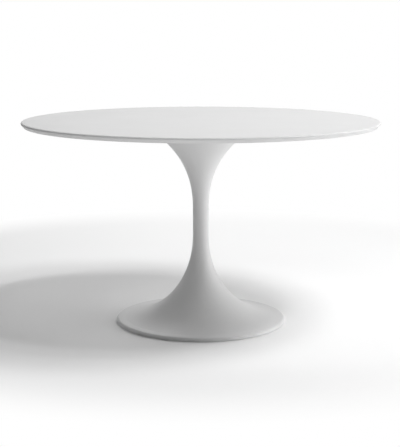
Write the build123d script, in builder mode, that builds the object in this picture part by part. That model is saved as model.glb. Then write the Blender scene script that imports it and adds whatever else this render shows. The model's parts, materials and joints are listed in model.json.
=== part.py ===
from build123d import *

import os

# Round pedestal table: a lacquered board on a cast trumpet-shaped pedestal, held together by one
# long rod down the neck, weighted by an iron ring in the foot and levelled by four screw glides.
# Millimetres, +Z up. The origin is on the floor, on the axis of the pedestal.

os.makedirs("parts", exist_ok=True)

# ---------------------------------------------------------------- driving dimensions

TABLE_HEIGHT = 750
FIT_GAP = 0.05  # radial clearance of a screw, stud or rod in its thread

# Board
TOP_RADIUS = 650
TOP_THICKNESS = 18
NOSE_RADIUS = 4.9
NOSE_SWEEP = 60  # degrees that the nose turns below the horizontal
BEVEL_INSET = 10  # from the rim of the board to the inner edge of its bevel
UNDERSIDE = TABLE_HEIGHT - TOP_THICKNESS

# Fixing of the board: inserts, plate and screws
PLATE_RADIUS = 176
PLATE_THICKNESS = 6
PLATE_SCREW_CIRCLE = 145  # radius of the circle of screws
PLATE_SCREW_COUNT = 8
INSERT_RADIUS = 5
INSERT_LENGTH = 13
INSERT_FLANGE_RADIUS = 7
INSERT_FLANGE_THICKNESS = 1.5
M6_RADIUS = 3
PAN_HEAD_RADIUS = 5.5
PAN_HEAD_HEIGHT = 3.3
HUB_RADIUS = 24
HUB_HEIGHT = 26
GASKET_THICKNESS = 1.5

# Pedestal, from the floor up
RIM_RADIUS = 315
RIM_BOTTOM = 1.25  # the glides hold the rim this far off the floor
RIM_BOTTOM_CHAMFER = 0.8
SHOULDER_RADIUS = 8.5
SHOULDER_CENTRE = 6.6  # height of the centre of the rim's round shoulder
FLANGE_SLOPE = 3  # degrees that the flange falls towards the rim
CREASE_RADIUS = 281  # where the trumpet's curve ends in the flange
CREASE_HEIGHT = 16.45  # on the straight line that leaves the shoulder at the flange's slope
NECK_RADIUS = 29.1
NECK_BOTTOM = 322
NECK_TOP = 429.6
BELL_RADIUS = 199
BELL_TOP = UNDERSIDE - GASKET_THICKNESS
WALL = 6

# Curves of the casting as (radius, height) of their control points
TRUMPET = [
    (NECK_RADIUS, NECK_BOTTOM),
    (NECK_RADIUS, 172.5),
    (120, 37),
    (CREASE_RADIUS, CREASE_HEIGHT),
]
BELL = [
    (NECK_RADIUS, NECK_TOP),
    (NECK_RADIUS, 640),
    (182.5, 702),
    (BELL_RADIUS, BELL_TOP),
]
# How the inner curves leave the outer ones, in walls, at each control point
TRUMPET_INWARDS = [(-1, 0), (-1, -0.5), (-0.5, -1), (0, -1)]
BELL_INWARDS = [(-1, 0), (-1, 0.5), (-1, 1), (-1, 0)]

# Inside the casting
LEDGE_BOTTOM = 714  # ledge in the bell's mouth that carries the plate
LEDGE_RADIUS = 163
LAND_FOOT_RADIUS = 178  # where the thick land of the mouth meets the wall
LAND_TOP_RADIUS = 196
PLATE_SEAT_GAP = 1
WEB_BOTTOM = 244  # web across the foot of the neck that takes the rod's pull
WEB_THICKNESS = 12
WEB_RADIUS = 33

# Rod down the neck
ROD_RADIUS = 8
ROD_TOP = UNDERSIDE - 2
ROD_BOTTOM = 214
ROD_END_CHAMFER = 1.5
M16_FLATS = 24
LOCK_NUT_HEIGHT = 8
ROD_NUT_HEIGHT = 13
ROD_WASHER_RADIUS = 20
ROD_WASHER_THICKNESS = 3
SPRING_WASHER_RADIUS = 12.7
SPRING_WASHER_THICKNESS = 3.5
SPRING_WASHER_SLIT = 2

# Ballast in the foot
BALLAST_BOTTOM = 9
BALLAST_BORE = 90
BALLAST_RADIUS = 200
BALLAST_EDGE = 28  # height of the ring at its outer edge
BALLAST_SLOPE_RADIUS = 150
BALLAST_TOP = 50
BALLAST_BOLT_CIRCLE = 120
BALLAST_BOLT_COUNT = 4
BALLAST_BOSS_RADIUS = 10
M10_RADIUS = 5
M10_FLATS = 16
M10_HEAD = 6.4
M10_WASHER_RADIUS = 10
M10_WASHER_THICKNESS = 2
COUNTERBORE_RADIUS = 12
COUNTERBORE_DEPTH = 12
BOLT_REACH = 14  # thread of a ballast bolt inside its boss

# Cover under the foot
COVER_RADIUS = 292
COVER_SHEET = 1.5
COVER_BOTTOM = 4
COVER_SWAGE = 2  # the middle of the cover is pressed up by this much
SWAGE_OUTER = 228
SWAGE_INNER = 223
COVER_SEAT_RADIUS = 293
COVER_LEDGE_RADIUS = 283
COVER_SCREW_CIRCLE = 288
COVER_SCREW_COUNT = 8
COVER_SCREW_LENGTH = 8
COVER_HEAD_RADIUS = 3.6
COVER_HEAD_HEIGHT = 1.6
M4_RADIUS = 2

# Levelling glides
GLIDE_COUNT = 4
GLIDE_CIRCLE = 250
GLIDE_START_ANGLE = 45
PAD_RADIUS = 15
PAD_HEIGHT = 5
PAD_EDGE = 1.5
PAD_HOLE_GAP = 2  # between a pad and its hole in the cover
POCKET_FLOOR = 1.1
POCKET_ROOF = 4.1
POCKET_RADIUS = 8.1
KEY_HOLE_RADIUS = 4.5
STUD_RADIUS = 4
STUD_TOP = 15
STUD_HEAD_RADIUS = 8
STUD_HEAD_BOTTOM = 1.2
STUD_HEAD_TOP = 4
GLIDE_BOSS_RADIUS = 12
GLIDE_BOSS_BOTTOM = 7.3
GLIDE_HOLE_TOP = 17.5

# Hexagon sockets, across flats
M6_SOCKET = 4
M4_SOCKET = 2.5
GLIDE_SOCKET = 5


# ---------------------------------------------------------------- shared shapes


def inner_curve(points, inwards):
    """Control points of a wall's inner curve: each outer one moved by its own share of the wall."""
    return [(r + WALL * dr, z + WALL * dz) for (r, z), (dr, dz) in zip(points, inwards)]


def hexagon(flats):
    """A hexagon measured across its flats."""
    return RegularPolygon(flats / 2, 6, major_radius=False)


def finish(builder, name):
    """Label the finished piece and write it to its own file."""
    builder.part.label = name
    export_step(builder.part, f"parts/{name}.step")


# ---------------------------------------------------------------- board

with BuildPart() as tabletop:
    with BuildSketch(Plane.XZ):
        with BuildLine():
            nose_centre = (TOP_RADIUS - NOSE_RADIUS, TABLE_HEIGHT - NOSE_RADIUS)
            nose = CenterArc(nose_centre, NOSE_RADIUS, 90, -(90 + NOSE_SWEEP))
            Polyline(
                nose @ 1,
                (TOP_RADIUS - BEVEL_INSET, UNDERSIDE),
                (0, UNDERSIDE),
                (0, TABLE_HEIGHT),
                nose @ 0,
            )
        make_face()
    revolve(axis=Axis.Z)
    # Blind holes for the inserts, each with a shallow seat for the insert's flange
    with BuildSketch(Plane.XY.offset(UNDERSIDE)):
        with PolarLocations(PLATE_SCREW_CIRCLE, PLATE_SCREW_COUNT):
            Circle(INSERT_RADIUS)
    extrude(amount=INSERT_LENGTH, mode=Mode.SUBTRACT)
    with BuildSketch(Plane.XY.offset(UNDERSIDE)):
        with PolarLocations(PLATE_SCREW_CIRCLE, PLATE_SCREW_COUNT):
            Circle(INSERT_FLANGE_RADIUS)
    extrude(amount=INSERT_FLANGE_THICKNESS, mode=Mode.SUBTRACT)
finish(tabletop, "tabletop")

# ---------------------------------------------------------------- threaded inserts in the board

with BuildPart() as top_inserts:
    with BuildSketch(Plane.XY.offset(UNDERSIDE)):
        with PolarLocations(PLATE_SCREW_CIRCLE, PLATE_SCREW_COUNT):
            Circle(INSERT_FLANGE_RADIUS)
    extrude(amount=INSERT_FLANGE_THICKNESS)
    with BuildSketch(Plane.XY.offset(UNDERSIDE)):
        with PolarLocations(PLATE_SCREW_CIRCLE, PLATE_SCREW_COUNT):
            Circle(INSERT_RADIUS)
    extrude(amount=INSERT_LENGTH)
    with BuildSketch(Plane.XY.offset(UNDERSIDE)):
        with PolarLocations(PLATE_SCREW_CIRCLE, PLATE_SCREW_COUNT):
            Circle(M6_RADIUS + FIT_GAP)
    extrude(amount=INSERT_LENGTH, mode=Mode.SUBTRACT)
finish(top_inserts, "top_inserts")

# ---------------------------------------------------------------- steel plate with tapped hub

plate_bottom = UNDERSIDE - PLATE_THICKNESS

with BuildPart() as mounting_plate:
    with BuildSketch(Plane.XY.offset(plate_bottom)):
        Circle(PLATE_RADIUS)
    extrude(amount=PLATE_THICKNESS)
    with BuildSketch(Plane.XY.offset(plate_bottom)):
        Circle(HUB_RADIUS)
    extrude(amount=-HUB_HEIGHT)
    chamfer(mounting_plate.edges().group_by(Axis.Z)[0], length=2)
    # The weld bead that joins the hub to the plate
    weld_edges = mounting_plate.edges().filter_by(GeomType.CIRCLE).filter_by(
        lambda edge: edge.radius == HUB_RADIUS and abs(edge.center().Z - plate_bottom) < 1
    )
    fillet(weld_edges, radius=4)
    with BuildSketch(Plane.XY.offset(plate_bottom - HUB_HEIGHT)):
        Circle(ROD_RADIUS + FIT_GAP)
    extrude(amount=HUB_HEIGHT + PLATE_THICKNESS, mode=Mode.SUBTRACT)
    with BuildSketch(Plane.XY.offset(plate_bottom)):
        with PolarLocations(PLATE_SCREW_CIRCLE, PLATE_SCREW_COUNT):
            Circle(M6_RADIUS + 0.4)
    extrude(amount=PLATE_THICKNESS, mode=Mode.SUBTRACT)
finish(mounting_plate, "mounting_plate")

# ---------------------------------------------------------------- screws from plate to board

screw_end = UNDERSIDE + INSERT_LENGTH - 1

with BuildPart() as plate_screws:
    with BuildSketch(Plane.XY.offset(plate_bottom)):
        with PolarLocations(PLATE_SCREW_CIRCLE, PLATE_SCREW_COUNT):
            Circle(M6_RADIUS)
    extrude(amount=screw_end - plate_bottom)
    with BuildSketch(Plane.XY.offset(plate_bottom)):
        with PolarLocations(PLATE_SCREW_CIRCLE, PLATE_SCREW_COUNT):
            Circle(PAN_HEAD_RADIUS)
    extrude(amount=-PAN_HEAD_HEIGHT)
    fillet(plate_screws.edges().group_by(Axis.Z)[0], radius=1.5)
    with BuildSketch(Plane.XY.offset(plate_bottom - PAN_HEAD_HEIGHT)):
        with PolarLocations(PLATE_SCREW_CIRCLE, PLATE_SCREW_COUNT):
            hexagon(M6_SOCKET)
    extrude(amount=PAN_HEAD_HEIGHT - 1, mode=Mode.SUBTRACT)
finish(plate_screws, "plate_screws")

# ---------------------------------------------------------------- gasket between bell and board

with BuildPart() as rim_gasket:
    with BuildSketch(Plane.XY.offset(BELL_TOP)):
        Circle(BELL_RADIUS - 2)
        Circle(PLATE_RADIUS + 4, mode=Mode.SUBTRACT)
    extrude(amount=GASKET_THICKNESS)
finish(rim_gasket, "rim_gasket")

# ---------------------------------------------------------------- cast pedestal

def draw_outline():
    """Outer outline of the casting, from the axis to the rim and up to the mouth of the bell."""
    trumpet = Bezier(*TRUMPET)
    bell = Bezier(*BELL)
    shoulder_centre = (RIM_RADIUS - SHOULDER_RADIUS, SHOULDER_CENTRE)
    shoulder = CenterArc(shoulder_centre, SHOULDER_RADIUS, 0, 90 - FLANGE_SLOPE)
    Line(trumpet @ 0, bell @ 0)
    Line(shoulder @ 1, trumpet @ 1)
    Polyline(
        bell @ 1,
        (0, BELL_TOP),
        (0, RIM_BOTTOM),
        (RIM_RADIUS - RIM_BOTTOM_CHAMFER, RIM_BOTTOM),
        (RIM_RADIUS, RIM_BOTTOM + RIM_BOTTOM_CHAMFER),
        shoulder @ 0,
    )


with BuildPart() as pedestal:
    with BuildSketch(Plane.XZ):
        with BuildLine():
            draw_outline()
        make_face()
        # The hollow runs through from the cover's seat to the mouth of the bell
        with BuildLine():
            inner_trumpet = Bezier(*inner_curve(TRUMPET, TRUMPET_INWARDS))
            inner_bell = Bezier(*inner_curve(BELL, BELL_INWARDS))
            Line(inner_trumpet @ 0, inner_bell @ 0)
            Polyline(
                inner_bell @ 1,
                (0, BELL_TOP),
                (0, RIM_BOTTOM),
                (COVER_SEAT_RADIUS, RIM_BOTTOM),
                (COVER_SEAT_RADIUS, COVER_BOTTOM + COVER_SHEET),
                (COVER_LEDGE_RADIUS, COVER_BOTTOM + COVER_SHEET),
                (COVER_LEDGE_RADIUS, CREASE_HEIGHT - WALL),
                inner_trumpet @ 1,
            )
        make_face(mode=Mode.SUBTRACT)
        # Thick land and ledge in the mouth of the bell
        with BuildLine():
            Polyline(
                (LEDGE_RADIUS, LEDGE_BOTTOM),
                (LAND_FOOT_RADIUS, LEDGE_BOTTOM),
                (LAND_TOP_RADIUS, BELL_TOP),
                (PLATE_RADIUS + PLATE_SEAT_GAP, BELL_TOP),
                (PLATE_RADIUS + PLATE_SEAT_GAP, plate_bottom),
                (LEDGE_RADIUS, plate_bottom),
                close=True,
            )
        make_face()
        # Web across the neck's foot, with a hole for the rod
        with BuildLine():
            Polyline(
                (ROD_RADIUS + 1, WEB_BOTTOM),
                (WEB_RADIUS, WEB_BOTTOM),
                (WEB_RADIUS, WEB_BOTTOM + WEB_THICKNESS),
                (ROD_RADIUS + 1, WEB_BOTTOM + WEB_THICKNESS),
                close=True,
            )
        make_face()
    revolve(axis=Axis.Z)
    # Bosses for the ballast bolts and the glides; the outline trims them inside the wall
    with BuildSketch(Plane.XY.offset(BALLAST_TOP)):
        with PolarLocations(BALLAST_BOLT_CIRCLE, BALLAST_BOLT_COUNT):
            Circle(BALLAST_BOSS_RADIUS)
    extrude(amount=BALLAST_TOP)
    with BuildSketch(Plane.XY.offset(GLIDE_BOSS_BOTTOM)):
        with PolarLocations(GLIDE_CIRCLE, GLIDE_COUNT, start_angle=GLIDE_START_ANGLE):
            Circle(GLIDE_BOSS_RADIUS)
    extrude(amount=CREASE_HEIGHT)
    with BuildSketch(Plane.XZ):
        with BuildLine():
            draw_outline()
        make_face()
    revolve(axis=Axis.Z, mode=Mode.INTERSECT)
    # Tapped holes
    with BuildSketch(Plane.XY.offset(BALLAST_TOP)):
        with PolarLocations(BALLAST_BOLT_CIRCLE, BALLAST_BOLT_COUNT):
            Circle(M10_RADIUS + FIT_GAP)
    extrude(amount=BOLT_REACH + 2, mode=Mode.SUBTRACT)
    with BuildSketch(Plane.XY.offset(GLIDE_BOSS_BOTTOM)):
        with PolarLocations(GLIDE_CIRCLE, GLIDE_COUNT, start_angle=GLIDE_START_ANGLE):
            Circle(STUD_RADIUS + FIT_GAP)
    extrude(amount=GLIDE_HOLE_TOP - GLIDE_BOSS_BOTTOM, mode=Mode.SUBTRACT)
    with BuildSketch(Plane.XY.offset(COVER_BOTTOM + COVER_SHEET)):
        with PolarLocations(COVER_SCREW_CIRCLE, COVER_SCREW_COUNT):
            Circle(M4_RADIUS + FIT_GAP)
    extrude(amount=COVER_SCREW_LENGTH - COVER_SHEET + 1, mode=Mode.SUBTRACT)
finish(pedestal, "pedestal")

# ---------------------------------------------------------------- rod and its nuts and washers

hub_bottom = plate_bottom - HUB_HEIGHT

with BuildPart() as tie_rod:
    with BuildSketch(Plane.XY.offset(ROD_BOTTOM)):
        Circle(ROD_RADIUS)
    extrude(amount=ROD_TOP - ROD_BOTTOM)
    chamfer(tie_rod.edges().filter_by(GeomType.CIRCLE), length=ROD_END_CHAMFER)
finish(tie_rod, "tie_rod")

with BuildPart() as rod_lock_nut:
    with BuildSketch(Plane.XY.offset(hub_bottom - LOCK_NUT_HEIGHT)):
        hexagon(M16_FLATS)
        Circle(ROD_RADIUS + FIT_GAP, mode=Mode.SUBTRACT)
    extrude(amount=LOCK_NUT_HEIGHT)
finish(rod_lock_nut, "rod_lock_nut")

washer_bottom = WEB_BOTTOM - ROD_WASHER_THICKNESS

with BuildPart() as rod_washer:
    with BuildSketch(Plane.XY.offset(washer_bottom)):
        Circle(ROD_WASHER_RADIUS)
        Circle(ROD_RADIUS + 0.5, mode=Mode.SUBTRACT)
    extrude(amount=ROD_WASHER_THICKNESS)
finish(rod_washer, "rod_washer")

spring_bottom = washer_bottom - SPRING_WASHER_THICKNESS

with BuildPart() as rod_spring_washer:
    with BuildSketch(Plane.XY.offset(spring_bottom)):
        Circle(SPRING_WASHER_RADIUS)
        Circle(ROD_RADIUS + 0.3, mode=Mode.SUBTRACT)
        with Locations((SPRING_WASHER_RADIUS, 0)):
            Rectangle(SPRING_WASHER_RADIUS, SPRING_WASHER_SLIT, mode=Mode.SUBTRACT)
    extrude(amount=SPRING_WASHER_THICKNESS)
finish(rod_spring_washer, "rod_spring_washer")

with BuildPart() as rod_nut:
    with BuildSketch(Plane.XY.offset(spring_bottom - ROD_NUT_HEIGHT)):
        hexagon(M16_FLATS)
        Circle(ROD_RADIUS + FIT_GAP, mode=Mode.SUBTRACT)
    extrude(amount=ROD_NUT_HEIGHT)
finish(rod_nut, "rod_nut")

# ---------------------------------------------------------------- ballast and its bolts

with BuildPart() as ballast_ring:
    with BuildSketch(Plane.XZ):
        with BuildLine():
            Polyline(
                (BALLAST_BORE, BALLAST_BOTTOM),
                (BALLAST_RADIUS, BALLAST_BOTTOM),
                (BALLAST_RADIUS, BALLAST_EDGE),
                (BALLAST_SLOPE_RADIUS, BALLAST_TOP),
                (BALLAST_BORE, BALLAST_TOP),
                close=True,
            )
        make_face()
    revolve(axis=Axis.Z)
    with BuildSketch(Plane.XY.offset(BALLAST_BOTTOM)):
        with PolarLocations(BALLAST_BOLT_CIRCLE, BALLAST_BOLT_COUNT):
            Circle(M10_RADIUS + 0.5)
    extrude(amount=BALLAST_TOP - BALLAST_BOTTOM, mode=Mode.SUBTRACT)
    with BuildSketch(Plane.XY.offset(BALLAST_BOTTOM)):
        with PolarLocations(BALLAST_BOLT_CIRCLE, BALLAST_BOLT_COUNT):
            Circle(COUNTERBORE_RADIUS)
    extrude(amount=COUNTERBORE_DEPTH, mode=Mode.SUBTRACT)
finish(ballast_ring, "ballast_ring")

ballast_seat = BALLAST_BOTTOM + COUNTERBORE_DEPTH
ballast_head_top = ballast_seat - M10_WASHER_THICKNESS

with BuildPart() as ballast_washers:
    with BuildSketch(Plane.XY.offset(ballast_head_top)):
        with PolarLocations(BALLAST_BOLT_CIRCLE, BALLAST_BOLT_COUNT):
            Circle(M10_WASHER_RADIUS)
            Circle(M10_RADIUS + 0.3, mode=Mode.SUBTRACT)
    extrude(amount=M10_WASHER_THICKNESS)
finish(ballast_washers, "ballast_washers")

with BuildPart() as ballast_bolts:
    with BuildSketch(Plane.XY.offset(ballast_head_top)):
        with PolarLocations(BALLAST_BOLT_CIRCLE, BALLAST_BOLT_COUNT):
            hexagon(M10_FLATS)
    extrude(amount=-M10_HEAD)
    with BuildSketch(Plane.XY.offset(ballast_head_top)):
        with PolarLocations(BALLAST_BOLT_CIRCLE, BALLAST_BOLT_COUNT):
            Circle(M10_RADIUS)
    extrude(amount=BALLAST_TOP + BOLT_REACH - ballast_head_top)
finish(ballast_bolts, "ballast_bolts")

# ---------------------------------------------------------------- cover and its screws

with BuildPart() as base_cover:
    with BuildSketch(Plane.XZ):
        with BuildLine():
            Polyline(
                (0, COVER_BOTTOM + COVER_SWAGE),
                (SWAGE_INNER, COVER_BOTTOM + COVER_SWAGE),
                (SWAGE_OUTER, COVER_BOTTOM),
                (COVER_RADIUS, COVER_BOTTOM),
                (COVER_RADIUS, COVER_BOTTOM + COVER_SHEET),
                (SWAGE_OUTER, COVER_BOTTOM + COVER_SHEET),
                (SWAGE_INNER, COVER_BOTTOM + COVER_SHEET + COVER_SWAGE),
                (0, COVER_BOTTOM + COVER_SHEET + COVER_SWAGE),
                close=True,
            )
        make_face()
    revolve(axis=Axis.Z)
    with BuildSketch(Plane.XY.offset(COVER_BOTTOM)):
        with PolarLocations(GLIDE_CIRCLE, GLIDE_COUNT, start_angle=GLIDE_START_ANGLE):
            Circle(PAD_RADIUS + PAD_HOLE_GAP)
        with PolarLocations(COVER_SCREW_CIRCLE, COVER_SCREW_COUNT):
            Circle(M4_RADIUS + 0.2)
    extrude(amount=COVER_SHEET, mode=Mode.SUBTRACT)
finish(base_cover, "base_cover")

with BuildPart() as cover_screws:
    with BuildSketch(Plane.XY.offset(COVER_BOTTOM)):
        with PolarLocations(COVER_SCREW_CIRCLE, COVER_SCREW_COUNT):
            Circle(COVER_HEAD_RADIUS)
    extrude(amount=-COVER_HEAD_HEIGHT)
    fillet(cover_screws.edges().group_by(Axis.Z)[0], radius=0.8)
    with BuildSketch(Plane.XY.offset(COVER_BOTTOM)):
        with PolarLocations(COVER_SCREW_CIRCLE, COVER_SCREW_COUNT):
            Circle(M4_RADIUS)
    extrude(amount=COVER_SCREW_LENGTH)
    with BuildSketch(Plane.XY.offset(COVER_BOTTOM - COVER_HEAD_HEIGHT)):
        with PolarLocations(COVER_SCREW_CIRCLE, COVER_SCREW_COUNT):
            hexagon(M4_SOCKET)
    extrude(amount=COVER_HEAD_HEIGHT, mode=Mode.SUBTRACT)
finish(cover_screws, "cover_screws")

# ---------------------------------------------------------------- levelling glides

glide_places = PolarLocations(GLIDE_CIRCLE, GLIDE_COUNT, start_angle=GLIDE_START_ANGLE).locations

for number, place in enumerate(glide_places, start=1):
    # Nylon pad: a cup whose pocket holds the stud's head, with a hole below for the key
    with BuildPart() as glide_pad:
        with BuildSketch(Plane(place.position)):
            Circle(PAD_RADIUS)
        extrude(amount=PAD_HEIGHT)
        chamfer(glide_pad.edges().group_by(Axis.Z)[0], length=PAD_EDGE)
        fillet(glide_pad.edges().group_by(Axis.Z)[-1], radius=1)
        with BuildSketch(Plane(place.position)):
            Circle(KEY_HOLE_RADIUS)
        extrude(amount=PAD_HEIGHT, mode=Mode.SUBTRACT)
        with BuildSketch(Plane(place.position).offset(POCKET_FLOOR)):
            Circle(POCKET_RADIUS)
        extrude(amount=POCKET_ROOF - POCKET_FLOOR, mode=Mode.SUBTRACT)
    finish(glide_pad, f"glide_pad_{number}")

    # Steel stud: a round head with a key socket below and the thread above
    with BuildPart() as glide_stud:
        with BuildSketch(Plane(place.position).offset(STUD_HEAD_BOTTOM)):
            Circle(STUD_HEAD_RADIUS)
        extrude(amount=STUD_HEAD_TOP - STUD_HEAD_BOTTOM)
        with BuildSketch(Plane(place.position).offset(STUD_HEAD_TOP)):
            Circle(STUD_RADIUS)
        extrude(amount=STUD_TOP - STUD_HEAD_TOP)
        chamfer(glide_stud.edges().group_by(Axis.Z)[-1], length=1)
        with BuildSketch(Plane(place.position).offset(STUD_HEAD_BOTTOM)):
            hexagon(GLIDE_SOCKET)
        extrude(amount=STUD_HEAD_TOP - STUD_HEAD_BOTTOM, mode=Mode.SUBTRACT)
    finish(glide_stud, f"glide_stud_{number}")
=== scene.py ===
import json
import math

import bmesh
import bpy
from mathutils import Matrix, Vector


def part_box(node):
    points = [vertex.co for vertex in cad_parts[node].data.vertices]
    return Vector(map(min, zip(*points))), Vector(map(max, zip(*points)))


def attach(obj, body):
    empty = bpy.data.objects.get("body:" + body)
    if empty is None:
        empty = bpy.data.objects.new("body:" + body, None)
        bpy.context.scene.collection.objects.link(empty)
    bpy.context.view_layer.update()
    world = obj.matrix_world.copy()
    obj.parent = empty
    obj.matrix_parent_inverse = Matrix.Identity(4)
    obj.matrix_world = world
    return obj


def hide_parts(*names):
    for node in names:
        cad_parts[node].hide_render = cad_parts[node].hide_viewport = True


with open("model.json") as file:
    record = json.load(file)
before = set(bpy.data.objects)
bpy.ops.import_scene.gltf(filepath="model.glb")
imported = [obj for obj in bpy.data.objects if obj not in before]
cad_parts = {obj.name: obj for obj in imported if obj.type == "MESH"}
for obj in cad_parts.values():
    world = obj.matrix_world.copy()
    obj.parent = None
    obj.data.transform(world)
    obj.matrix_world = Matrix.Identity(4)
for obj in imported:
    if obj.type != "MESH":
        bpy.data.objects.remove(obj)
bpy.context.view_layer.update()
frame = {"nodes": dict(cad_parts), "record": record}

nodes = frame["nodes"]

# ---------------------------------------------------------------- material helpers


class Finish:
    """A procedural material on a Principled shader, fed by the object's own coordinates in metres."""

    def __init__(self, name, color, metallic=0.0):
        self.material = bpy.data.materials.new(name)
        self.material.use_nodes = True
        self.tree = self.material.node_tree
        self.shader = self.tree.nodes["Principled BSDF"]
        self.shader.inputs["Metallic"].default_value = metallic
        self.coordinates = self.add("ShaderNodeTexCoord").outputs["Object"]
        self.color = color

    def add(self, kind, **settings):
        node = self.tree.nodes.new(kind)
        for key, value in settings.items():
            setattr(node, key, value)
        return node

    def link(self, source, target):
        self.tree.links.new(source, target)

    def noise(self, size, detail=2.0, stretch=(1.0, 1.0, 1.0), rough=0.5):
        """Noise whose grains are about size metres across, longer where stretch is under 1."""
        mapping = self.add("ShaderNodeMapping")
        mapping.inputs["Scale"].default_value = stretch
        self.link(self.coordinates, mapping.inputs["Vector"])
        node = self.add("ShaderNodeTexNoise")
        node.inputs["Scale"].default_value = 1.0 / size
        node.inputs["Detail"].default_value = detail
        node.inputs["Roughness"].default_value = rough
        self.link(mapping.outputs["Vector"], node.inputs["Vector"])
        return node.outputs["Fac"]

    def cells(self, size):
        """A grey for each cell, with cells about size metres across."""
        node = self.add("ShaderNodeTexVoronoi")
        node.inputs["Scale"].default_value = 1.0 / size
        self.link(self.coordinates, node.inputs["Vector"])
        shade = self.add("ShaderNodeSeparateColor")
        self.link(node.outputs["Color"], shade.inputs["Color"])
        return shade.outputs["Red"]

    def ranged(self, value, low, high, start=0.3, end=0.7, curve="LINEAR"):
        """value, from start to end, mapped to low to high."""
        node = self.add("ShaderNodeMapRange", interpolation_type=curve)
        for socket, number in zip(("From Min", "From Max", "To Min", "To Max"), (start, end, low, high)):
            node.inputs[socket].default_value = number
        self.link(value, node.inputs["Value"])
        return node.outputs["Result"]

    def math(self, operation, first, second):
        node = self.add("ShaderNodeMath", operation=operation)
        for socket, value in zip(node.inputs, (first, second)):
            if isinstance(value, (int, float)):
                socket.default_value = value
            else:
                self.link(value, socket)
        return node.outputs[0]

    def mix(self, factor, first, second):
        """A colour between first and second, each a grey, an RGB triple or a socket."""
        node = self.add("ShaderNodeMix", data_type="RGBA")
        self.link(factor, node.inputs["Factor"])
        for socket, value in zip((node.inputs[6], node.inputs[7]), (first, second)):
            if isinstance(value, bpy.types.NodeSocket):
                self.link(value, socket)
            else:
                socket.default_value = (*value, 1.0)
        return node.outputs[2]

    def mottle(self, parts):
        """The base colour times a little noise: parts is a list of (grain size, share of the colour)."""
        shade = None
        for size, share in parts:
            part = self.ranged(self.noise(size), 1.0 - share, 1.0 + share)
            shade = part if shade is None else self.math("MULTIPLY", shade, part)
        node = self.add("ShaderNodeMix", data_type="RGBA", blend_type="MULTIPLY")
        node.inputs["Factor"].default_value = 1.0
        node.inputs[6].default_value = (*self.color, 1.0)
        self.link(shade, node.inputs[7])
        return node.outputs[2]

    def worn(self, color, bare, width):
        """The colour, going over to bare within width of a sharp edge, in broken patches."""
        rounded = self.add("ShaderNodeBevel", samples=4)
        rounded.inputs["Radius"].default_value = width
        flat = self.add("ShaderNodeNewGeometry")
        facing = self.add("ShaderNodeVectorMath", operation="DOT_PRODUCT")
        self.link(rounded.outputs["Normal"], facing.inputs[0])
        self.link(flat.outputs["Normal"], facing.inputs[1])
        edge = self.ranged(facing.outputs["Value"], 1.0, 0.0, 0.90, 0.995)
        patches = self.ranged(self.noise(width * 6.0, detail=3.0), 0.2, 1.0, 0.35, 0.65)
        return self.mix(self.math("MULTIPLY", edge, patches), color, bare)

    def bump(self, height, distance, strength=1.0, before=None):
        """A bump of that height socket; distance is in metres."""
        node = self.add("ShaderNodeBump")
        node.inputs["Distance"].default_value = distance
        node.inputs["Strength"].default_value = strength
        self.link(height, node.inputs["Height"])
        if before is not None:
            self.link(before, node.inputs["Normal"])
        return node.outputs["Normal"]

    def set(self, socket, value):
        self.shader.inputs[socket].default_value = value

    def finish(self, color, roughness, normal):
        self.link(color, self.shader.inputs["Base Color"])
        self.link(roughness, self.shader.inputs["Roughness"])
        self.link(normal, self.shader.inputs["Normal"])
        return self.material


# ---------------------------------------------------------------- materials


def board_lacquer():
    """White matte lacquer: a fine even grain, and a trace of handling in the gloss."""
    f = Finish("board_lacquer", (0.76, 0.76, 0.76))
    grain = f.noise(0.0016, detail=3.0)
    color = f.mottle([(0.0022, 0.012), (0.12, 0.006)])
    roughness = f.math("ADD", f.ranged(grain, 0.46, 0.56), f.ranged(f.noise(0.18), -0.03, 0.03))
    f.set("Specular IOR Level", 0.4)
    return f.finish(color, roughness, f.bump(grain, 0.00006, 0.5))


def powder_coat():
    """White powder coat on the casting: a soft orange peel over slow waves of the casting."""
    f = Finish("powder_coat", (0.76, 0.76, 0.76))
    peel = f.noise(0.0028)
    waves = f.noise(0.09, detail=1.0)
    color = f.mottle([(0.003, 0.008), (0.16, 0.008)])
    normal = f.bump(waves, 0.0004, 0.25)
    f.set("Specular IOR Level", 0.4)
    return f.finish(color, f.ranged(peel, 0.40, 0.50), f.bump(peel, 0.00005, 0.45, before=normal))


def zinc_plate():
    """Bright zinc plating: pale crystals, dull patches, and edges rubbed brighter."""
    f = Finish("zinc_plate", (0.66, 0.68, 0.70), metallic=1.0)
    crystals = f.cells(0.0012)
    color = f.worn(f.mottle([(0.0008, 0.10), (0.006, 0.08)]), (0.80, 0.81, 0.82), 0.0003)
    dullness = f.ranged(f.noise(0.004), 0.0, 0.12)
    roughness = f.math("ADD", f.ranged(crystals, 0.26, 0.36, 0.0, 1.0), dullness)
    return f.finish(color, roughness, f.bump(f.noise(0.0004), 0.00001, 0.5))


def oiled_spring_steel():
    """Dark heat-treated steel with a film of oil."""
    f = Finish("oiled_spring_steel", (0.14, 0.14, 0.15), metallic=1.0)
    color = f.worn(f.mottle([(0.003, 0.18), (0.0006, 0.10)]), (0.42, 0.42, 0.43), 0.0003)
    return f.finish(color, f.ranged(f.noise(0.003), 0.30, 0.48), f.bump(f.noise(0.0005), 0.00002, 0.5))


def black_primer():
    """Black primer on hot-rolled plate: satin, faintly pitted, rubbed to bare steel along its edges."""
    f = Finish("black_primer", (0.035, 0.035, 0.037))
    scale = f.noise(0.008, detail=4.0)
    color = f.worn(f.mottle([(0.01, 0.20), (0.001, 0.08)]), (0.16, 0.16, 0.16), 0.0005)
    return f.finish(color, f.ranged(scale, 0.38, 0.58), f.bump(scale, 0.00025, 0.5))


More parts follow.
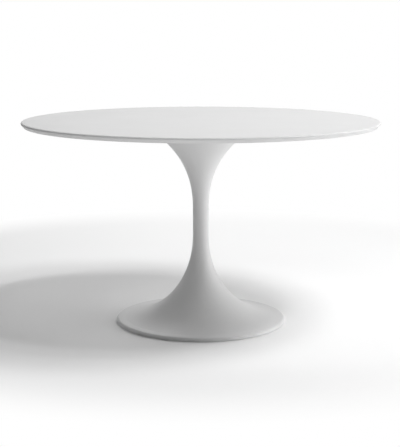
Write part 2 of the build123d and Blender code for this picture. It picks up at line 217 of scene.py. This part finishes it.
def sand_cast_iron():
    """Bare grey iron as it left the sand: coarse skin, rust in the hollows."""
    f = Finish("sand_cast_iron", (0.10, 0.095, 0.09), metallic=0.3)
    skin = f.noise(0.0022, detail=6.0, rough=0.65)
    rust = f.ranged(f.noise(0.035, detail=5.0, rough=0.7), 0.0, 0.75, 0.52, 0.66)
    color = f.mix(rust, f.mottle([(0.004, 0.22), (0.03, 0.15)]), (0.17, 0.072, 0.035))
    return f.finish(color, f.ranged(skin, 0.62, 0.85), f.bump(skin, 0.0009, 0.7))


def cover_enamel():
    """Grey textured enamel on the pressed sheet, with fine scuffs from the floor."""
    f = Finish("cover_enamel", (0.27, 0.27, 0.275))
    texture = f.noise(0.0011, detail=2.0)
    scuffs = f.noise(0.004, detail=4.0, stretch=(0.06, 1.0, 1.0), rough=0.7)
    marks = f.ranged(scuffs, 0.0, 0.45, 0.60, 0.68)
    scuffed = f.mix(marks, f.mottle([(0.0015, 0.08), (0.10, 0.06)]), (0.36, 0.36, 0.36))
    color = f.worn(scuffed, (0.42, 0.42, 0.42), 0.0004)
    roughness = f.math("SUBTRACT", f.ranged(texture, 0.52, 0.66), f.math("MULTIPLY", marks, 0.3))
    return f.finish(color, roughness, f.bump(texture, 0.00012, 0.6))


def gasket_foam():
    """Closed-cell rubber strip: pale grey, open skin of tiny cells."""
    f = Finish("gasket_foam", (0.58, 0.58, 0.57))
    cells = f.cells(0.0006)
    color = f.mottle([(0.0008, 0.10), (0.02, 0.05)])
    f.set("Specular IOR Level", 0.25)
    return f.finish(color, f.ranged(cells, 0.80, 0.92, 0.0, 1.0), f.bump(cells, 0.00015, 0.6))


def moulded_nylon():
    """Black moulded nylon with a spark-eroded grain, scuffed grey where it stands on the floor."""
    f = Finish("moulded_nylon", (0.045, 0.045, 0.047))
    grain = f.noise(0.0005, detail=3.0)
    height = f.add("ShaderNodeSeparateXYZ")
    f.link(f.coordinates, height.inputs[0])
    near_floor = f.ranged(height.outputs["Z"], 1.0, 0.0, 0.0002, 0.0022)
    scuffed = f.math("MULTIPLY", near_floor, f.ranged(f.noise(0.0016, detail=4.0), 0.0, 0.8))
    color = f.mix(scuffed, f.mottle([(0.0008, 0.15), (0.006, 0.10)]), (0.17, 0.17, 0.17))
    roughness = f.math("ADD", f.ranged(grain, 0.48, 0.60), f.math("MULTIPLY", scuffed, 0.25))
    return f.finish(color, roughness, f.bump(grain, 0.00004, 0.6))


MAKERS = {
    "top_lacquer": board_lacquer,
    "pedestal_coat": powder_coat,
    "zinc": zinc_plate,
    "spring_steel": oiled_spring_steel,
    "black_steel": black_primer,
    "iron": sand_cast_iron,
    "cover_paint": cover_enamel,
    "gasket_rubber": gasket_foam,
    "pad_nylon": moulded_nylon,
}
materials = {slot: make() for slot, make in MAKERS.items()}


def dress(piece, material):
    """Gives every material slot of a piece that material."""
    for index in range(len(piece.material_slots)):
        piece.material_slots[index].material = material


for subpart in frame["record"]["subparts"]:
    dress(nodes[subpart["node"]], materials[subpart["material_slot"]])

# ---------------------------------------------------------------- threaded pieces

# The CAD has plain shanks; these pieces stand for them with real threads, inside the same outlines.

STEPS = 24  # vertices round a ring: a multiple of 6, so that a hexagon has its corners
THREAD_PROFILE = ((0.25, 0.0), (0.5625, 1.0), (0.6875, 1.0))  # shares of the pitch and of the depth
THREAD_DEPTH = 0.61  # of the pitch
TIP_TAPER = 0.6  # of the pitch: the thread stops this far short of the tip
TIP_INSET = 0.9  # of the pitch: the tip's end is this much slimmer than the thread
SHARP_ANGLE = 32  # degrees: edges that turn more than this stay sharp
MM = 0.001
NECKING = 0.2 * MM  # a plain shank is this much slimmer than its thread


def add_vertex(bm, centre, step, reach, height):
    """A vertex at that distance from the screw's axis, some steps round it."""
    angle = 2 * math.pi * step / STEPS
    return bm.verts.new((centre.x + reach * math.cos(angle), centre.y + reach * math.sin(angle), height))


def add_ring(bm, centre, radius, height, flats=0.0):
    """A ring of vertices: a circle of that radius, or a hexagon if it has a width across flats."""
    ring = []
    for step in range(STEPS):
        angle = 2 * math.pi * step / STEPS
        reach = flats / 2 / math.cos(angle % (math.pi / 3) - math.pi / 6) if flats else radius
        ring.append(add_vertex(bm, centre, step, reach, height))
    return ring


def join_rings(bm, first, second):
    for step in range(STEPS):
        after = (step + 1) % STEPS
        bm.faces.new((first[step], first[after], second[after], second[step]))
    return second


def add_rings(bm, centre, ring, outline):
    """Carries a ring on through an outline of (radius, height, width across flats or 0)."""
    for radius, height, flats in outline:
        ring = join_rings(bm, ring, add_ring(bm, centre, radius, height, flats))
    return ring


def add_thread(bm, centre, low, high, radius, pitch):
    """A helical thread that fades in and out over one turn at each end; returns its two end rings."""
    turns = round((high - low) / pitch)
    pitch = (high - low) / turns
    last = (turns - 1) * STEPS
    root = radius - THREAD_DEPTH * pitch

    def point(step, share, rise):
        reach = root + (radius - root) * rise * min(1.0, step / STEPS, (last - step) / STEPS)
        return add_vertex(bm, centre, step, reach, low + pitch * (step / STEPS + share))

    valley = [point(step, 0.0, 0.0) for step in range(last + STEPS + 1)]
    ridge = [[point(step, *share) for share in THREAD_PROFILE] for step in range(last + 1)]
    for step in range(last):
        here = (valley[step], *ridge[step], valley[step + STEPS])
        there = (valley[step + 1], *ridge[step + 1], valley[step + STEPS + 1])
        for corners in zip(here, there, there[1:], here[1:]):
            bm.faces.new(corners)
    bottom = close_thread(bm, centre, low, root, valley[: STEPS + 1], ridge[0])
    top = close_thread(bm, centre, high, root, valley[: last - 1 : -1], ridge[-1][::-1])
    return bottom, top


def close_thread(bm, centre, height, root, edge, end):
    """Fills between a flat ring and the last turn of a thread, whose open edge climbs by one pitch."""
    around = [edge[0]]
    turn = 1 if edge[-1].co.z > edge[0].co.z else -1
    for step in range(1, STEPS):
        around.append(add_vertex(bm, centre, step * turn, root, height))
    bm.faces.new((around[0], around[1], edge[1]))
    for step in range(1, STEPS - 1):
        bm.faces.new((around[step], around[step + 1], edge[step + 1], edge[step]))
    bm.faces.new((around[-1], around[0], *end, edge[-1], edge[-2]))
    return around if turn > 0 else [around[0], *around[:0:-1]]


def add_screw(bm, centre, outline, radius, pitch, tip, plain=0.0):
    """One screw: its outline from the middle of the head's end to the neck, a plain stretch, the thread."""
    end = add_ring(bm, centre, *outline[0])
    bm.faces.new(end)
    ring = add_rings(bm, centre, end, outline[1:])
    if plain:
        shank = radius - NECKING
        start = ring[0].co.z
        ring = add_rings(bm, centre, ring, [(shank, start, 0.0), (shank, start + plain, 0.0)])
    bottom, top = add_thread(bm, centre, ring[0].co.z + NECKING, tip - TIP_TAPER * pitch, radius, pitch)
    join_rings(bm, ring, bottom)
    bm.faces.new(add_rings(bm, centre, top, [(radius - TIP_INSET * pitch, tip, 0.0)]))


def socket_head(low, high, radius, flats, depth, rounding):
    """Outline of a round head with a hexagon socket in its lower face."""
    return [
        (0.0, low + depth, flats),
        (0.0, low + 0.1 * MM, flats),
        (0.6 * flats, low, 0.0),
        (radius - rounding, low, 0.0),
        (radius - 0.3 * rounding, low + 0.3 * rounding, 0.0),
        (radius, low + rounding, 0.0),
        (radius, high - NECKING, 0.0),
        (radius - NECKING, high, 0.0),
    ]


def hexagon_head(low, high, flats):
    """Outline of a hexagon head with a chamfered lower face."""
    return [
        (0.45 * flats, low, 0.0),
        (0.0, low + 0.6 * MM, flats),
        (0.0, high, flats),
        (0.45 * flats, high, 0.0),
    ]


def circle_places(radius, count):
    """Points evenly round the table's axis."""
    angles = [2 * math.pi * step / count for step in range(count)]
    return [Vector((radius * math.cos(angle), radius * math.sin(angle), 0.0)) for angle in angles]


def make_piece(bm, name, body, node):
    """Turns the mesh into a named zinc-plated piece that rides on a body and stands for a CAD node."""
    bmesh.ops.recalc_face_normals(bm, faces=bm.faces)
    mesh = bpy.data.meshes.new(name)
    bm.to_mesh(mesh)
    bm.free()
    mesh.shade_smooth()
    mesh.set_sharp_from_angle(angle=math.radians(SHARP_ANGLE))
    mesh.materials.append(materials["zinc"])
    piece = bpy.data.objects.new(name, mesh)
    bpy.context.scene.collection.objects.link(piece)
    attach(piece, body)
    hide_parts(node)


def glide_stud(number):
    """M8 stud of a levelling glide."""
    node = f"glide_stud_{number}"
    low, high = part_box(node)
    bm = bmesh.new()
    head = socket_head(low.z, low.z + 2.8 * MM, (high.x - low.x) / 2, 5 * MM, 2.7 * MM, 0.4 * MM)
    add_screw(bm, (low + high) / 2, head, 4 * MM, 1.25 * MM, high.z)
    make_piece(bm, f"threaded_stud_{number}", node, node)


def cover_screws():
    """Eight M4 pan-head screws that hold the cover."""
    low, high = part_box("cover_screws")
    head_radius = 3.6 * MM
    bm = bmesh.new()
    for place in circle_places(high.x - head_radius, 8):
        head = socket_head(low.z, low.z + 1.6 * MM, head_radius, 2.5 * MM, 1.5 * MM, 0.8 * MM)
        add_screw(bm, place, head, 2 * MM, 0.7 * MM, high.z)
    make_piece(bm, "threaded_cover_screws", "table", "cover_screws")


def plate_screws():
    """Eight M6 pan-head screws from the plate into the board."""
    low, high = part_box("plate_screws")
    head_radius = 5.5 * MM
    bm = bmesh.new()
    for place in circle_places(high.x - head_radius, 8):
        head = socket_head(low.z, low.z + 3.3 * MM, head_radius, 4 * MM, 2.3 * MM, 1.5 * MM)
        add_screw(bm, place, head, 3 * MM, 1 * MM, high.z)
    make_piece(bm, "threaded_plate_screws", "table", "plate_screws")


def ballast_bolts():
    """Four M10 hexagon bolts through the ballast."""
    low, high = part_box("ballast_bolts")
    flats = 16 * MM
    bm = bmesh.new()
    for place in circle_places(high.y - flats / 2, 4):
        head = hexagon_head(low.z, low.z + 6.4 * MM, flats)
        add_screw(bm, place, head, 5 * MM, 1.5 * MM, high.z, plain=19 * MM)
    make_piece(bm, "threaded_ballast_bolts", "table", "ballast_bolts")


def tie_rod():
    """M16 rod, threaded at both ends, plain between."""
    low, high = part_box("tie_rod")
    centre = (low + high) / 2
    radius = high.x
    end_radius = radius - 1.5 * MM
    pitch = 2 * MM
    lower_thread = 90 * MM
    upper_thread = 70 * MM
    runout = 1 * MM
    neck = radius - NECKING
    bm = bmesh.new()
    end = add_ring(bm, centre, end_radius, low.z)
    bm.faces.new(end)
    bottom, ring = add_thread(bm, centre, low.z + TIP_TAPER * pitch, low.z + lower_thread, radius, pitch)
    join_rings(bm, end, bottom)
    plain = [(neck, ring[0].co.z + runout, 0.0), (neck, high.z - upper_thread - runout, 0.0)]
    ring = add_rings(bm, centre, ring, plain)
    bottom, top = add_thread(bm, centre, high.z - upper_thread, high.z - TIP_TAPER * pitch, radius, pitch)
    join_rings(bm, ring, bottom)
    bm.faces.new(add_rings(bm, centre, top, [(end_radius, high.z, 0.0)]))
    make_piece(bm, "threaded_tie_rod", "table", "tie_rod")


for number in range(1, 5):
    glide_stud(number)
cover_screws()
plate_screws()
ballast_bolts()
tie_rod()

# ---------------------------------------------------------------- camera

CAMERA_DISTANCE = 4.249
CAMERA_HEIGHT = 1.119
CAMERA_PITCH = 0.17534
CAMERA_ASIDE = -0.0027
FOCAL_LENGTH = 93.77
SENSOR = 36.0

camera = bpy.data.objects.new("camera", bpy.data.cameras.new("camera"))
camera.data.lens = FOCAL_LENGTH
camera.data.sensor_width = SENSOR
camera.location = (CAMERA_ASIDE, -CAMERA_DISTANCE, CAMERA_HEIGHT)
camera.rotation_euler = (math.pi / 2 - CAMERA_PITCH, 0.0, 0.0)
bpy.context.scene.collection.objects.link(camera)
bpy.context.scene.camera = camera

# ---------------------------------------------------------------- floor

# The floor is a strip of white paper, this wide to each side of the table. Past its edges the world is
# white too.
SWEEP_LEFT = 1.85
SWEEP_RIGHT = 2.2
SWEEP_LENGTH = 28.0
GLOW_CENTRE = (0.0, 0.7, 0.0)
GLOW_START = 1.35  # from here outwards the floor goes over into an evenly lit white sweep
GLOW_END = 1.88


def floor_material():
    """Plain white sweep, matte, that glows evenly white far from the table."""
    f = Finish("floor_paint", (0.96, 0.96, 0.96))
    grain = f.noise(0.004, detail=3.0)
    color = f.mottle([(0.01, 0.004), (0.9, 0.004)])
    f.finish(color, f.ranged(grain, 0.75, 0.85), f.bump(grain, 0.0001, 0.2))
    f.set("Specular IOR Level", 0.1)
    distance = f.add("ShaderNodeVectorMath", operation="DISTANCE")
    f.link(f.coordinates, distance.inputs[0])
    distance.inputs[1].default_value = GLOW_CENTRE
    far = f.ranged(distance.outputs["Value"], 0.0, 1.0, GLOW_START, GLOW_END, "SMOOTHSTEP")
    glow = f.add("ShaderNodeEmission")
    blend = f.add("ShaderNodeMixShader")
    f.link(far, blend.inputs["Fac"])
    f.link(f.shader.outputs["BSDF"], blend.inputs[1])
    f.link(glow.outputs["Emission"], blend.inputs[2])
    f.link(blend.outputs["Shader"], f.tree.nodes["Material Output"].inputs["Surface"])
    return f.material


def white_sweep():
    """The strip of floor that the table stands on."""
    along = SWEEP_LENGTH / 2
    mesh = bpy.data.meshes.new("floor")
    sides = [(-SWEEP_LEFT, -along), (SWEEP_RIGHT, -along), (SWEEP_RIGHT, along), (-SWEEP_LEFT, along)]
    corners = [(aside, ahead, 0.0) for aside, ahead in sides]
    mesh.from_pydata(corners, [], [(0, 1, 2, 3)])
    mesh.materials.append(floor_material())
    floor = bpy.data.objects.new("floor", mesh)
    bpy.context.scene.collection.objects.link(floor)


white_sweep()

# ---------------------------------------------------------------- light

# A distant key from the upper right, softened by discs beside it, a wall of light at the right, and weak
# fills round the back and left. Azimuth goes from the front (0) to the right (90), the back (180) and the
# left (270).

LIGHT_TARGET = Vector((0.0, 0.0, 0.4))
LIGHT_DISTANCE = 3.2
DISC_WIDTH = 1.2
BOX_SIZE = (2.4, 1.6)
BANK_SIZE = (3.0, 1.4)
BANK_DISTANCE = 3.0
BANK_HEIGHT = 0.85  # of the bank's middle over the floor
ROOM_LIGHT = 0.03


def direction(azimuth, elevation):
    """Unit vector from the table towards a light."""
    turn = math.radians(azimuth)
    rise = math.radians(elevation)
    return Vector((math.sin(turn) * math.cos(rise), -math.cos(turn) * math.cos(rise), math.sin(rise)))


def hang(light, place, towards):
    """Puts a light in its place, turned towards the table, out of the camera's sight."""
    holder = bpy.data.objects.new(light.name, light)
    holder.location = place
    holder.rotation_euler = towards.to_track_quat("-Z", "Y").to_euler()
    holder.visible_camera = False
    bpy.context.scene.collection.objects.link(holder)


def area_light(name, power, shape, width, height):
    light = bpy.data.lights.new(name, "AREA")
    light.energy = power
    light.shape = shape
    light.size = width
    light.size_y = height
    return light


def distant_key(name, azimuth, elevation, strength, softness):
    """A far light whose rays are parallel; softness is its angle in the sky, in degrees."""
    light = bpy.data.lights.new(name, "SUN")
    light.energy = strength
    light.angle = math.radians(softness)
    ray = direction(azimuth, elevation)
    hang(light, LIGHT_DISTANCE * ray, -ray)


def soft_disc(name, azimuth, elevation, power, width=DISC_WIDTH):
    light = area_light(name, power, "DISK", width, width)
    ray = direction(azimuth, elevation)
    hang(light, LIGHT_TARGET + LIGHT_DISTANCE * ray, -ray)


def soft_box(name, azimuth, elevation, power):
    light = area_light(name, power, "RECTANGLE", *BOX_SIZE)
    ray = direction(azimuth, elevation)
    hang(light, LIGHT_TARGET + LIGHT_DISTANCE * ray, -ray)


def bank(name, azimuth, power):
    """An upright wall of light that starts near the floor."""
    light = area_light(name, power, "RECTANGLE", *BANK_SIZE)
    ray = direction(azimuth, 0.0)
    hang(light, BANK_DISTANCE * ray + Vector((0.0, 0.0, BANK_HEIGHT)), -ray)


distant_key("key_left", 52, 63, 0.39, softness=6)
distant_key("key_right", 68, 63, 0.335, softness=6)
soft_disc("key_disc", 60, 62.5, 30.5, width=0.8)
soft_disc("key_side", 75, 61, 7, width=1.0)
bank("bank_right", 90, 48)
bank("bank_front_right", 60, 5)
bank("bank_back", 180, 12.5)
bank("bank_left_back", 240, 6)
soft_box("box_back", 180, 35, 17)
soft_box("box_right_back", 135, 35, 10.5)
soft_disc("fill_left_back", 240, 45, 8)
soft_disc("fill_front_left", 330, 60, 8.5)


def studio_world():
    """White to the camera, and a weak even light to everything else."""
    world = bpy.data.worlds.new("studio")
    world.use_nodes = True
    tree = world.node_tree
    room = tree.nodes["Background"]
    room.inputs["Color"].default_value = (1.0, 1.0, 1.0, 1.0)
    room.inputs["Strength"].default_value = ROOM_LIGHT
    white = tree.nodes.new("ShaderNodeBackground")
    white.inputs["Color"].default_value = (1.0, 1.0, 1.0, 1.0)
    seen = tree.nodes.new("ShaderNodeLightPath")
    blend = tree.nodes.new("ShaderNodeMixShader")
    tree.links.new(seen.outputs["Is Camera Ray"], blend.inputs["Fac"])
    tree.links.new(room.outputs["Background"], blend.inputs[1])
    tree.links.new(white.outputs["Background"], blend.inputs[2])
    tree.links.new(blend.outputs["Shader"], tree.nodes["World Output"].inputs["Surface"])
    return world


bpy.context.scene.world = studio_world()
bpy.context.scene.view_settings.view_transform = "Standard"
